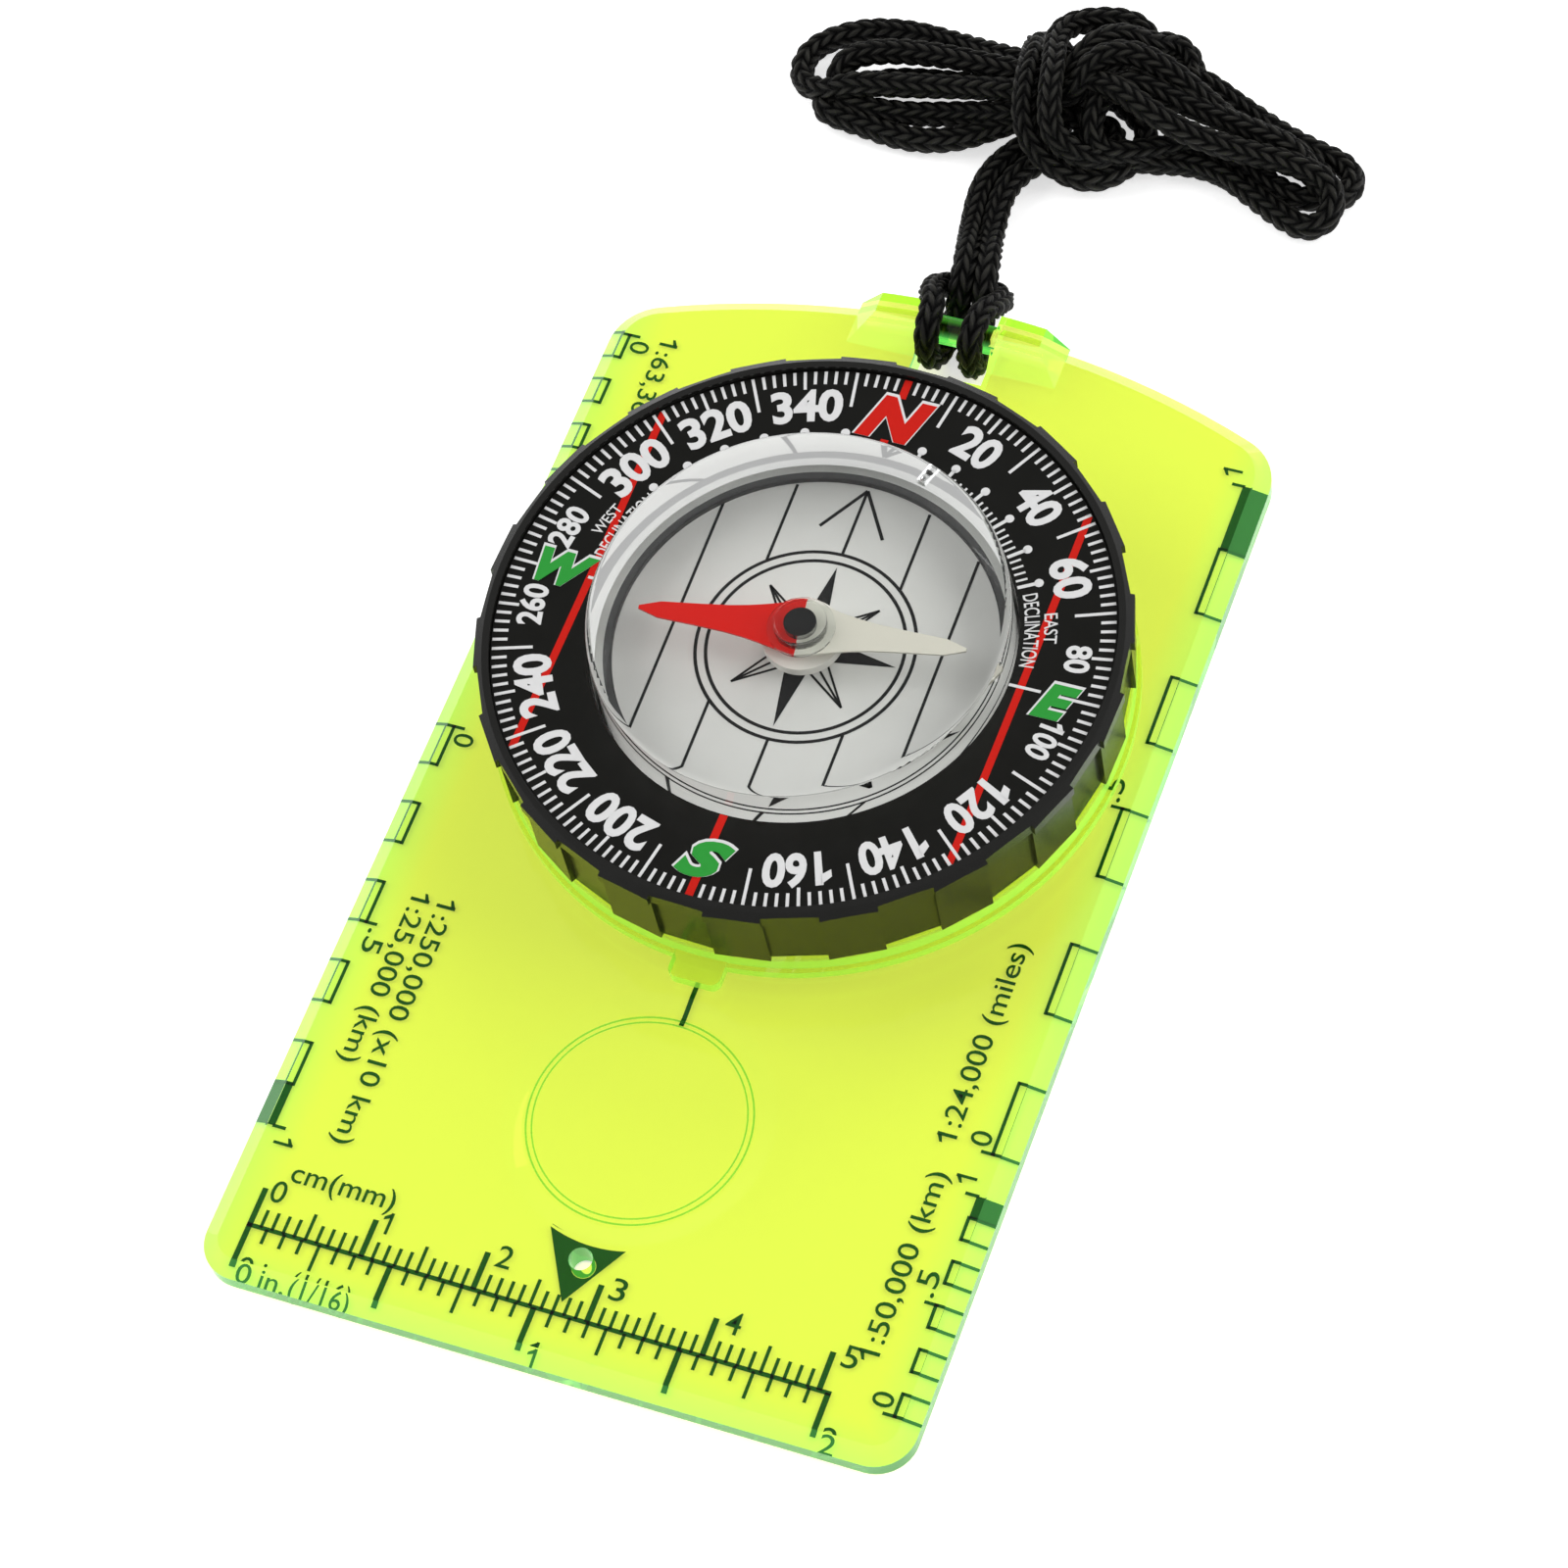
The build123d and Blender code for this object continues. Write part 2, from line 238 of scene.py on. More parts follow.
def thin_fluorescent(name, tint, glow, glow_strength):
    """The same acrylic in a thin moulding: tinted and glossy, with a painted glow at its edges and
    walls.
    """
    material, tree, shader = new_material(name)
    settle(shader, Base_Color=(*glow, 1), Roughness=0.12)
    settle(shader, Emission_Color=(*glow, 1), Emission_Strength=glow_strength)
    bump(tree, shader, noise(tree, 1.5, 3), 0.01)
    # painted glow: the glowing surface shows at grazing angles and on walls, and the tinted
    # see-through shows elsewhere
    grazing = tree.nodes.new("ShaderNodeLayerWeight")
    settle(grazing, Blend=0.18)
    walls = ramp(tree, upright(tree, 0.3, 0.98), 0.0, 0.6)
    glow_share = maths(tree, "MAXIMUM", grazing.outputs["Fresnel"], walls)
    surface = mixed(tree, glow_share, see_through(tree, tint), shader.outputs[0])
    lets_light_through(tree, surface, [c ** 0.5 for c in tint])
    return material


def clear_plastic(name, tint=(0.97, 0.98, 0.98)):
    material, tree, shader = new_material(name)
    settle(shader, Base_Color=(*tint, 1), Transmission_Weight=1.0, IOR=acrylic_ior)
    link(tree, ramp(tree, noise(tree, 1.2, 5), 0.0, 0.02, 0.5, 0.8), shader.inputs["Roughness"])
    lets_light_through(tree, shader.outputs[0], tint)
    return material


def capsule_glass():
    """Clear cover, full of an oil that bends light as the plastic does: the walls of the
    cavity don't show, so only the outside refracts. The walls seen from inside glow with painted
    light."""
    margin = 0.2              # takes in the cavity's own walls
    far_wall_painted_light = 0.42
    material, tree, shader = new_material("capsule_clear")
    settle(shader, Base_Color=(0.97, 0.98, 0.975, 1), Transmission_Weight=1.0, IOR=1.45)
    link(tree, ramp(tree, noise(tree, 1.2, 5), 0.0, 0.012, 0.5, 0.8), shader.inputs["Roughness"])
    place = parts_of(tree, coordinates(tree))
    flat = tree.nodes.new("ShaderNodeCombineXYZ")
    link(tree, place["X"], flat.inputs["X"])
    link(tree, place["Y"], flat.inputs["Y"])
    away = tree.nodes.new("ShaderNodeVectorMath")
    away.operation = "DISTANCE"
    away.inputs[1].default_value = (dial_x, dial_y, 0)
    link(tree, flat.outputs[0], away.inputs[0])
    within = maths(tree, "LESS_THAN", away.outputs["Value"], cavity_radius + margin)
    below = maths(tree, "LESS_THAN", place["Z"], cavity_roof + margin)
    inside = maths(tree, "MULTIPLY", within, below)
    # painted light: the walls glow where they are seen from inside, which brightens the far wall
    back = tree.nodes.new("ShaderNodeNewGeometry").outputs["Backfacing"]
    walls = ramp(tree, upright(tree, 0.2, 0.6), 0, far_wall_painted_light)
    painted_wall_glow = tree.nodes.new("ShaderNodeEmission")
    link(tree, maths(tree, "MULTIPLY", back, walls), painted_wall_glow.inputs["Strength"])
    outside = summed(tree, shader.outputs[0], painted_wall_glow.outputs[0])
    surface = mixed(tree, inside, outside, see_through(tree))
    lets_light_through(tree, surface, (0.98, 0.985, 0.98))
    return material


def moulded(name, dark, light, roughness, specular):
    """Opaque moulded plastic with a fine grain and slightly uneven gloss."""
    grain_scale, grain_depth = 9.0, 0.006
    material, tree, shader = new_material(name)
    link(tree, tinted(tree, noise(tree, 0.35, 5), dark, light), shader.inputs["Base Color"])
    worn = ramp(tree, noise(tree, 0.8, 6, 0.6), roughness * 0.8, roughness * 1.25)
    link(tree, worn, shader.inputs["Roughness"])
    settle(shader, Specular_IOR_Level=specular)
    bump(tree, shader, noise(tree, grain_scale, 3), grain_depth)
    return material


def printed(name, colour, roughness=0.45):
    """Screen-printed ink: solid colour with a faint uneven lay-down."""
    material, tree, shader = new_material(name)
    settle(shader, Specular_IOR_Level=0.2)
    dark = [c * 0.9 for c in colour]
    link(tree, tinted(tree, noise(tree, 2.5, 4), dark, colour), shader.inputs["Base Color"])
    settle(shader, Roughness=roughness)
    bump(tree, shader, noise(tree, 14, 2), 0.004)
    return material


def metal(name, colour, roughness):
    material, tree, shader = new_material(name)
    settle(shader, Base_Color=(*colour, 1), Metallic=1.0)
    brushed = ramp(tree, noise(tree, 3, 4), roughness * 0.7, roughness * 1.4)
    link(tree, brushed, shader.inputs["Roughness"])
    bump(tree, shader, noise(tree, 12, 3), 0.002)
    return material


def needle_paint():
    """Red lacquer on the north half and cream on the south half, split at the pivot."""
    red, cream = (0.66, 0.008, 0.004), (0.68, 0.66, 0.57)
    angle = math.radians(cream_angle)
    along = Vector((math.cos(angle), math.sin(angle), 0))
    material, tree, shader = new_material("needle_paint")
    reach = tree.nodes.new("ShaderNodeVectorMath")
    reach.operation = "DOT_PRODUCT"
    reach.inputs[1].default_value = along
    link(tree, coordinates(tree), reach.inputs[0])
    south = maths(tree, "GREATER_THAN", reach.outputs["Value"], along.dot(dial_centre) / MM)
    link(tree, tinted(tree, south, red, cream), shader.inputs["Base Color"])
    settle(shader, Coat_Weight=0.1, Specular_IOR_Level=0.2)
    link(tree, ramp(tree, noise(tree, 4, 3), 0.25, 0.4), shader.inputs["Roughness"])
    bump(tree, shader, noise(tree, 6, 3), 0.004)
    return material


def point_value(tree, name):
    """A value stored on the mesh's points."""
    node = tree.nodes.new("ShaderNodeAttribute")
    node.attribute_name = name
    return node.outputs["Fac"]


def cord_material():
    """Black knitted polyester: fibres run along each stitch, and painted shade darkens the
    hollows.
    """
    hollow_shade, raised = (0.0003, 0.0003, 0.0003), (0.034, 0.033, 0.028)
    material, tree, shader = new_material("black_knit_cord")
    fibres = maths(tree, "SINE", point_value(tree, "fibre"))
    # painted shade: the colour darkens with the stitch height, darkest in the hollows
    relief = ramp(tree, point_value(tree, "relief"), 0, 1, 0.5, 1.0)
    shade_by_relief = maths(tree, "MULTIPLY", relief, ramp(tree, noise(tree, 3.0, 3), 0.7, 1.0))
    link(tree, tinted(tree, shade_by_relief, hollow_shade, raised), shader.inputs["Base Color"])
    link(tree, ramp(tree, fibres, 0.48, 0.66, -1, 1), shader.inputs["Roughness"])
    settle(shader, Specular_IOR_Level=0.22)
    bump(tree, shader, fibres, 0.02)
    return material


# ==== lanyard =====================================================================
cord_diameter = 2.3
wales = 4                # columns of V stitches round the cord
stitch_pitch = 1.42
stitch_relief = 0.42
stitch_datum = 0.8       # height on a stitch, 0 to 1, where the cord has its nominal radius
arm_lag = 0.95           # how far a V's arms lag behind its middle, in stitches
column_lead = 0.31       # how far each column is ahead of the one before, in stitches
twist, twist_length = 0.3, 40         # turns of the columns, and the length they take
ring_step = 0.14
points_round = 48

# Two halves of one lanyard, both leaving from the middle of the lark's head.
# Left half: hitch, strand, front wrap, outer left loop, front arch and first right loop,
# middle lobe in front, then the outer right loop returning on top.
left_route = [
    (-0.9, 57.3, 1.15),
    (-2.8, 57.0, 1.15),
    (-4.1, 55.8, 2.2),
    (-3.6, 53.3, 4.6),
    (-2.5, 51.6, 5.9),
    (-2.1, 47.95, 5.9),
    (-2.0, 47.95, 1.15),
    (-1.3, 52.7, 1.15),
    (-1.5, 55.8, 3.7),
    (-2.1, 58.8, 3.7),
    (-3.4, 62.8, 1.15),
    (-4.3, 68.6, 1.15),
    (-2.6, 72.6, 1.15),
    (0.9, 76.0, 1.15),
    (1.6, 81.0, 1.15),
    (-1.2, 84.4, 1.2),
    (-4.2, 84.2, 2.4),
    (-3.3, 80.8, 4.8),
    (-2.5, 76.6, 5.7),
    (-1.3, 72.4, 5.0),
    (1.4, 70.7, 2.8),
    (5.2, 70.5, 1.5),
    (8.0, 73.0, 1.2),
    (9.2, 77.2, 1.15),
    (6.4, 79.4, 1.6),
    (2.6, 80.4, 2.4),
    (-1.2, 80.7, 3.4),
    (-5.0, 81.2, 3.0),
    (-10.2, 82.3, 1.8),
    (-16.2, 83.2, 1.2),
    (-21.2, 82.1, 1.2),
    (-24.9, 79.0, 1.2),
    (-24.6, 75.2, 1.2),
    (-21.6, 73.9, 1.9),
    (-18.8, 74.7, 3.3),
    (-14.6, 75.3, 3.5),
    (-9.4, 76.5, 3.4),
    (-4.2, 76.9, 4.2),
    (-0.6, 77.2, 4.4),
    (2.2, 77.0, 5.4),
    (2.9, 80.0, 7.0),
    (5.6, 81.5, 7.4),
    (9.0, 81.4, 6.6),
    (12.6, 80.3, 5.0),
    (16.4, 79.0, 3.0),
    (20.6, 78.7, 1.8),
    (24.4, 77.8, 1.5),
    (26.4, 75.4, 1.4),
    (25.0, 73.6, 1.3),
    (21.4, 74.6, 1.2),
    (17.0, 76.6, 1.4),
    (13.4, 77.0, 2.4),
    (11.0, 75.4, 2.5),
    (8.4, 73.9, 2.7),
    (5.6, 72.7, 3.4),
    (4.2, 74.4, 4.9),
    (4.4, 78.4, 4.9),
    (6.2, 81.2, 3.6),
    (8.6, 83.6, 2.8),
    (12.2, 83.4, 2.7),
    (16.6, 81.7, 1.8),
    (20.8, 80.1, 1.3),
    (24.6, 79.1, 1.2),
    (27.4, 78.4, 1.2),
    (28.6, 76.2, 1.2),
    (27.2, 74.0, 1.6),
    (24.8, 75.6, 2.8),
    (22.6, 77.5, 3.6),
    (19.0, 78.1, 3.9),
    (15.2, 78.6, 4.2),
    (11.4, 78.8, 5.2),
    (7.6, 79.2, 6.2),
    (4.6, 78.6, 5.6),
    (3.6, 76.6, 4.4),
]

# Right half: hitch, strand, second wrap and top arch, inner left loop, front right loop,
# lower left loop, then a second arch and the small lobe to its right.
right_route = [
    (-0.9, 57.3, 1.15),
    (0.9, 57.0, 1.15),
    (2.3, 55.8, 2.2),
    (2.4, 53.3, 4.6),
    (1.9, 51.6, 5.9),
    (1.9, 47.95, 5.9),
    (2.0, 47.95, 1.15),
    (1.2, 52.7, 1.15),
    (0.6, 55.8, 3.7),
    (0.0, 58.8, 3.7),
    (-1.4, 62.8, 1.15),
    (-2.1, 68.0, 1.15),
    (-0.8, 71.2, 1.15),
    (2.6, 74.4, 1.15),
    (4.6, 77.6, 1.3),
    (6.6, 75.2, 1.8),
    (6.2, 72.4, 2.9),
    (4.0, 71.6, 3.8),
    (1.4, 72.2, 5.4),
    (0.4, 75.2, 7.0),
    (-0.4, 79.0, 6.8),
    (-1.7, 82.4, 5.4),
    (-1.2, 85.2, 4.6),
    (1.8, 86.9, 4.2),
    (4.6, 87.6, 3.4),
    (6.4, 86.2, 2.6),
    (5.6, 83.4, 2.0),
    (1.8, 80.4, 3.0),
    (-2.2, 79.2, 4.2),
    (-6.6, 79.6, 3.6),
    (-12.0, 79.8, 3.2),
    (-17.2, 79.3, 2.9),
    (-20.4, 78.0, 2.6),
    (-21.2, 75.9, 1.8),
    (-19.2, 75.7, 1.2),
    (-16.0, 77.6, 1.15),
    (-11.0, 78.5, 1.15),
    (-5.0, 78.4, 2.0),
    (0.4, 77.4, 3.8),
    (3.6, 78.6, 5.8),
    (6.4, 77.4, 6.9),
    (9.8, 75.9, 6.6),
    (13.6, 75.3, 5.3),
    (18.2, 75.5, 4.2),
    (23.2, 75.7, 3.8),
    (27.0, 74.8, 3.3),
    (27.8, 71.9, 2.4),
    (26.0, 70.4, 1.6),
    (23.2, 71.5, 1.3),
    (20.2, 73.1, 1.2),
    (16.6, 74.9, 1.2),
    (13.0, 75.1, 1.3),
    (9.4, 73.9, 1.7),
    (5.8, 74.4, 1.4),
    (3.0, 76.8, 1.7),
    (0.6, 77.0, 2.6),
    (-3.4, 75.3, 3.0),
    (-8.4, 74.8, 1.8),
    (-13.6, 73.6, 1.6),
    (-18.2, 73.4, 1.6),
    (-21.4, 74.2, 1.3),
    (-21.2, 72.3, 1.15),
    (-17.4, 71.9, 1.15),
    (-12.6, 71.2, 1.15),
    (-8.2, 72.2, 1.15),
    (-4.2, 74.8, 1.6),
    (0.0, 76.8, 3.0),
    (1.0, 79.6, 5.4),
    (2.2, 82.4, 6.4),
    (4.4, 84.3, 6.0),
    (6.8, 84.6, 4.7),
    (8.6, 86.1, 3.5),
    (10.4, 85.3, 3.0),
    (11.4, 83.2, 2.6),
    (10.6, 80.8, 2.2),
    (8.0, 80.6, 1.6),
    (5.6, 82.8, 1.4),
    (2.8, 84.6, 1.6),
    (0.2, 83.4, 2.2),
]


def smooth_line(points):
    """Points along one NURBS spline whose control points are the route."""
    curve = bpy.data.curves.new("route", "CURVE")
    curve.dimensions = "3D"
    curve.resolution_u = 24
    spline = curve.splines.new("NURBS")
    spline.points.add(len(points) - 1)
    for target, point in zip(spline.points, points):
        target.co = (*[value * MM for value in point], 1)
    spline.order_u = 3
    spline.use_endpoint_u = True
    carrier = bpy.data.objects.new("route", curve)
    mesh = bpy.data.meshes.new_from_object(carrier)
    line = np.array([vertex.co for vertex in mesh.vertices])
    bpy.data.meshes.remove(mesh)
    bpy.data.objects.remove(carrier)
    bpy.data.curves.remove(curve)
    return line


def evenly(line, step):
    """The same line with evenly spaced points."""
    along = np.concatenate([[0], np.cumsum(np.linalg.norm(np.diff(line, axis=0), axis=1))])
    at = np.linspace(0, along[-1], round(along[-1] / step) + 1)
    return np.stack([np.interp(at, along, line[:, k]) for k in range(3)], axis=1), at


def carried_frames(line):
    """A side and an up direction at each point, carried along without twisting."""
    forward = np.gradient(line, axis=0)
    forward /= np.linalg.norm(forward, axis=1)[:, None]
    side = np.cross(forward[0], (0, 0, 1))
    side /= np.linalg.norm(side)
    sides = [side]
    for direction in forward[1:]:
        side = side - direction * side.dot(direction)
        side = side / np.linalg.norm(side)
        sides.append(side)
    sides = np.array(sides)
    return sides, np.cross(sides, forward)


def knit(turn, along, seed):
    """Height (0 to 1) and fibre phase of V stitches; turn is 0 to 1 round the cord."""
    column = turn * wales
    number = np.floor(column)
    across = np.abs(column - number - 0.5) * 2     # 0 at the V's middle
    lag = along / (stitch_pitch * MM) - arm_lag * across + column_lead * number
    stitch = np.floor(lag)
    phase = lag - stitch
    # a different height, from 0 to 1, for every stitch
    uneven = np.sin(stitch * 12.9898 + number * 78.233 + seed) * 0.5 + 0.5
    leaf = np.abs(np.sin(np.pi * phase)) ** 0.62
    rib = np.clip(np.sin(np.pi * np.clip(across, 0, 1)), 0, 1) ** 0.45
    height = leaf * (0.15 + 0.85 * rib) * (0.86 + 0.14 * uneven)
    return height, phase * 6 * math.pi


def knitted_tube(name, line, material, seed):
    """Closed tube with stitch relief, and rounded ends."""
    centres, along = evenly(line, ring_step * MM)
    sides, ups = carried_frames(centres)
    turns, alongs = np.meshgrid(np.arange(points_round) / points_round, along)
    turned = (turns + twist * alongs / (twist_length * MM)) % 1.0
    height, fibre = knit(turned, alongs, seed)
    radius = (cord_diameter / 2 + stitch_relief * (height - stitch_datum)) * MM
    end = np.minimum(along, along[-1] - along)[:, None] / (cord_diameter / 2 * MM)
    radius = radius * np.sqrt(np.clip(1 - (1 - np.clip(end, 0.02, 1)) ** 2, 0, 1))
    angle = 2 * np.pi * turns
    outward = np.cos(angle)[..., None] * sides[:, None] + np.sin(angle)[..., None] * ups[:, None]
    points = centres[:, None] + radius[..., None] * outward
    last = (len(centres) - 1) * points_round
    faces = []
    for base in range(0, last, points_round):
        above = base + points_round
        for i in range(points_round):
            j = (i + 1) % points_round
            faces.append((base + i, base + j, above + j, above + i))
    faces.append(tuple(range(points_round - 1, -1, -1)))
    faces.append(tuple(range(last, last + points_round)))
    mesh = bpy.data.meshes.new(name)
    mesh.from_pydata(points.reshape(-1, 3), [], faces)
    for label, values in (("relief", height), ("fibre", fibre)):
        layer = mesh.attributes.new(label, "FLOAT", "POINT")
        layer.data.foreach_set("value", values.astype(np.float32).ravel())
    mesh.polygons.foreach_set("use_smooth", [True] * len(mesh.polygons))
    mesh.materials.append(material)
    tube = bpy.data.objects.new(name, mesh)
    collection.objects.link(tube)
    return tube


def make_lanyard():
    material = cord_material()
    halves = {
        "lanyard_cord_left": (left_route, ("lanyard_hitch", "lanyard_hank_left"), 0.262),
        "lanyard_cord_right": (right_route, ("lanyard_knot", "lanyard_hank_right"), 0.278),
    }
    for seed, (name, (route, nodes, length)) in enumerate(halves.items()):
        line = smooth_line(route)
        tube = knitted_tube(name, line, material, seed)
        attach(tube, "plate")
        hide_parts(*nodes)


make_lanyard()


# ==== finishes of the CAD nodes ===================================================
def dress(node, material):
    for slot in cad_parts[node].material_slots:
        slot.material = material


plate_tint, plate_edge_light_tint = (0.72, 0.82, 0.12), (0.56, 0.90, 0.17)
plate_painted_glow, index_tint, index_painted_glow = (0.18, 1.0, 0.20), (0.92, 0.98, 0.75), (0.45, 1.0, 0.12)

for node, material in {
    "baseplate": fluorescent_plastic(
        "plate_plastic", plate_tint, plate_edge_light_tint, plate_painted_glow, 0.34
    ),
    "index_ring": thin_fluorescent("index_plastic", index_tint, index_painted_glow, 0.12),
    "capsule_cover": capsule_glass(),
    "needle_blade": needle_paint(),
    "needle_hub": clear_plastic("hub_clear"),
    "filler_plug": metal("plug_steel", (0.62, 0.62, 0.62), 0.2),
    "pivot_pin": metal("pin_steel", (0.6, 0.6, 0.6), 0.25),
}.items():
    dress(node, material)

for node, name, dark, light, roughness, specular in (
    ("glide_washer", "washer_plastic", (0.55, 0.55, 0.53), (0.62, 0.62, 0.6), 0.4, 0.5),
    ("bezel_ring", "bezel_plastic", (0.008, 0.008, 0.007), (0.012, 0.012, 0.011), 0.24, 0.5),
    ("dial_plate", "dial_print", (0.006, 0.006, 0.005), (0.009, 0.009, 0.008), 0.35, 0.2),
    ("retaining_ring", "retainer_plastic", (0.5, 0.55, 0.3), (0.55, 0.6, 0.34), 0.35, 0.5),
    ("capsule_clip", "clip_plastic", (0.02, 0.02, 0.02), (0.03, 0.03, 0.03), 0.35, 0.5),
    ("capsule_cup", "capsule_floor", (0.76, 0.76, 0.73), (0.82, 0.82, 0.79), 0.4, 0.1),
    ("capsule_seal", "seal_rubber", (0.03, 0.03, 0.03), (0.05, 0.05, 0.05), 0.6, 0.5),
    ("needle_jewel", "jewel", (0.01, 0.01, 0.01), (0.015, 0.015, 0.015), 0.15, 0.5),
    ("needle_disc", "disc_plastic", (0.78, 0.76, 0.70), (0.84, 0.82, 0.76), 0.4, 0.5),
):
    dress(node, moulded(name, dark, light, roughness, specular))


# ==== printing helpers ============================================================
digit_height = 0.70      # of a figure in Blender's font at size 1


def solid_from(bm, name, material):
    mesh = bpy.data.meshes.new(name)
    bm.to_mesh(mesh)
    bm.free()
    mesh.materials.append(material)
    piece = bpy.data.objects.new(name, mesh)
    collection.objects.link(piece)
    return piece


def prism(bm, low, high):
    """Closed solid between two outlines, listed anticlockwise from above."""
    low, high = [[bm.verts.new(point) for point in outline] for outline in (low, high)]
    bm.faces.new(low[::-1])
    bm.faces.new(high)
    for i in range(len(low)):
        j = (i + 1) % len(low)
        bm.faces.new((low[i], low[j], high[j], high[i]))


def slab(bm, outline, bottom):
    """Patch of ink from an outline in millimetres, listed anticlockwise."""
    prism(bm, *[
        [(x * MM, y * MM, z * MM) for x, y in outline] for z in (bottom, bottom + ink_thick)
    ])


def bar(bm, start, end, width, bottom):
    """Printed line from start to end."""
    a, b = Vector(start), Vector(end)
    side = (b - a).normalized().orthogonal() * width / 2
    slab(bm, [b - side, b + side, a + side, a - side], bottom)


def arc_points(radius, start, end, count, centre):
    """Points on an arc; angles in degrees, anticlockwise from +X."""
    angles = [math.radians(start + (end - start) * i / count) for i in range(count + 1)]
    x, y = centre
    return [(x + radius * math.cos(a), y + radius * math.sin(a)) for a in angles]


def ring_print(bm, radius, width, bottom, centre, count=96):
    """A printed circle."""
    for i in range(count):
        start, end = 360 * i / count, 360 * (i + 1) / count
        outer = arc_points(radius + width / 2, start, end, 1, centre)
        inner = arc_points(radius - width / 2, start, end, 1, centre)
        slab(bm, outer + inner[::-1], bottom)


def add_flag(mesh):
    """Gives a leading figure one its slanting flag, left of the top of its plain stem."""
    stem_limit, flag_reach, flag_drop = 0.22, 0.19, 0.16      # at size 1
    spots = np.array([vertex.co for vertex in mesh.vertices])
    left, face = spots[:, 0].min(), spots[:, 2].max()
    stem = spots[spots[:, 0] < left + stem_limit]
    thick, top = stem[:, 0].max() - left, stem[:, 1].max()
    outline = [
        (left + thick * 0.3, top - thick * 0.1),
        (left - flag_reach, top - flag_drop),
        (left - flag_reach, top - flag_drop - thick * 0.95),
        (left + thick * 0.3, top - 0.06 - thick),
    ]
    part = bmesh.new()
    part.from_mesh(mesh)
    prism(part, *[[(x, y, z) for x, y in outline] for z in (-face, face)])
    bmesh.ops.recalc_face_normals(part, faces=part.faces)
    part.to_mesh(mesh)
    part.free()


def lettering(bm, text, place, height, width, bold, slant=0.0, middle=False):
    """Printed text. The height is a figure's and the width the whole text's, in millimetres.
    Place is a matrix, or a function of a point on the text's plane, into the frame."""
    font = bpy.data.curves.new("lettering", "FONT")
    font.body = text
    font.extrude = 0.5
    font.offset = bold
    font.shear = slant
    font.resolution_u = 4
    carrier = bpy.data.objects.new("lettering", font)
    mesh = bpy.data.meshes.new_from_object(carrier)
    if text.startswith("1"):
        add_flag(mesh)
    spots = np.array([vertex.co for vertex in mesh.vertices])
    left, right = spots[:, 0].min(), spots[:, 0].max()
    tall = height / (digit_height + 2 * bold)
    wide = width / (right - left)
    shift = (left + right) / 2 if middle else left
    for vertex in mesh.vertices:
        x, y, z = vertex.co
        point = ((x - shift) * wide, (y + bold) * tall, z * ink_thick)
        vertex.co = place(*point) if callable(place) else place @ (Vector(point) * MM)
    bm.from_mesh(mesh)
    bpy.data.meshes.remove(mesh)
    bpy.data.objects.remove(carrier)
    bpy.data.curves.remove(font)


def flat_place(x, y, z, turn):
    """Text plane at a point in millimetres, turned anticlockwise by degrees."""
    spin = Matrix.Rotation(math.radians(turn), 4, "Z")
    return Matrix.Translation(Vector((x, y, z + ink_thick / 2)) * MM) @ spin


# ==== scales printed under the plate ==============================================
KM, MILE = 1e6, 1609344.0
plate_ink_z = 0.01
plate_bold = 0.004
line_x_right = 28.5
line_x_left = -29.55
thin_line = 0.3
bold_line = 0.5
block_reach = 1.95
cm_ticks = (3.45, 2.45, 1.65)          # long, middle and short graduations
inch_ticks = (3.35, 2.45, 1.35)
inch_text_y = -52.0
label_height = 1.75
figure_width, one_width = 1.3, 0.75


def plate_text(bm, text, x, y, height, width, turn=0):
    """Text from a start point on its base line, at the given digit height and whole width."""
    lettering(bm, text, flat_place(x, y, plate_ink_z, turn), height, width, plate_bold)


def tick_row(bm, x0, base_y, pitch, count, sign, major, medium, lengths):
    """Graduations on one side of the base line, the longer ones bolder."""
    for i in range(count + 1):
        kind = 0 if i % major == 0 else 1 if i % medium == 0 else 2
        width = bold_line if kind == 0 else thin_line
        x = x0 + i * pitch
        bar(bm, (x, base_y), (x, base_y + sign * lengths[kind]), width, plate_ink_z)


def ruler(bm):
    """Centimetres above one base line and sixteenths of an inch below it."""
    base_y = plate_low.y / MM + 5.2
    zero_x = plate_low.x / MM + 3.0
    end_x = zero_x + 2 * INCH
    overhang, base_width = 0.25, 0.4
    figure_lift, figure_height, inch_text_height = 2.45, 2.0, 1.9
    left, right = (zero_x - overhang, base_y), (end_x + overhang, base_y)
    bar(bm, left, right, base_width, plate_ink_z)
    tick_row(bm, zero_x, base_y, 1.0, 50, 1, 10, 5, cm_ticks)
    tick_row(bm, zero_x, base_y, INCH / 16, 32, -1, 8, 4, inch_ticks)
    for i in range(6):
        x = zero_x + i * 10 + (0.55 if i < 2 else 0.85)
        width = one_width if i == 1 else figure_width
        plate_text(bm, str(i), x, base_y + figure_lift, figure_height, width)
    plate_text(bm, "cm(mm)", -26.4, -42.8, 1.85, 9.3)
    for text, x, width in (
        ("0", -27.5, figure_width),
        ("in.", -25.4, 2.3),
        ("(1/16)", -22.7, 5.3),
        ("1", zero_x + INCH + 0.9, one_width),
        ("2", end_x + 0.7, figure_width),
    ):
        plate_text(bm, text, x, inch_text_y, inch_text_height, width)


def scale_blocks(bm, line_x, zero_y, step, outward):
    """Ten divisions beside an edge: every other one boxed, and the last one solid."""
    far_x = line_x + block_reach * outward
    overlap = math.copysign(thin_line / 2, step)
    for i in range(10):
        y0, y1 = zero_y + i * step, zero_y + (i + 1) * step
        if i == 9:
            left, right = sorted((line_x, far_x))
            low, high = sorted((y0, y1))
            corners = [(left, low), (right, low), (right, high), (left, high)]
            slab(bm, corners, plate_ink_z)
        elif i % 2 == 0:
            ends = (line_x, y0 - overlap), (line_x, y1 + overlap)
            bar(bm, *ends, thin_line, plate_ink_z)
            for y in (y0, y1):
                bar(bm, (line_x, y), (far_x, y), thin_line, plate_ink_z)


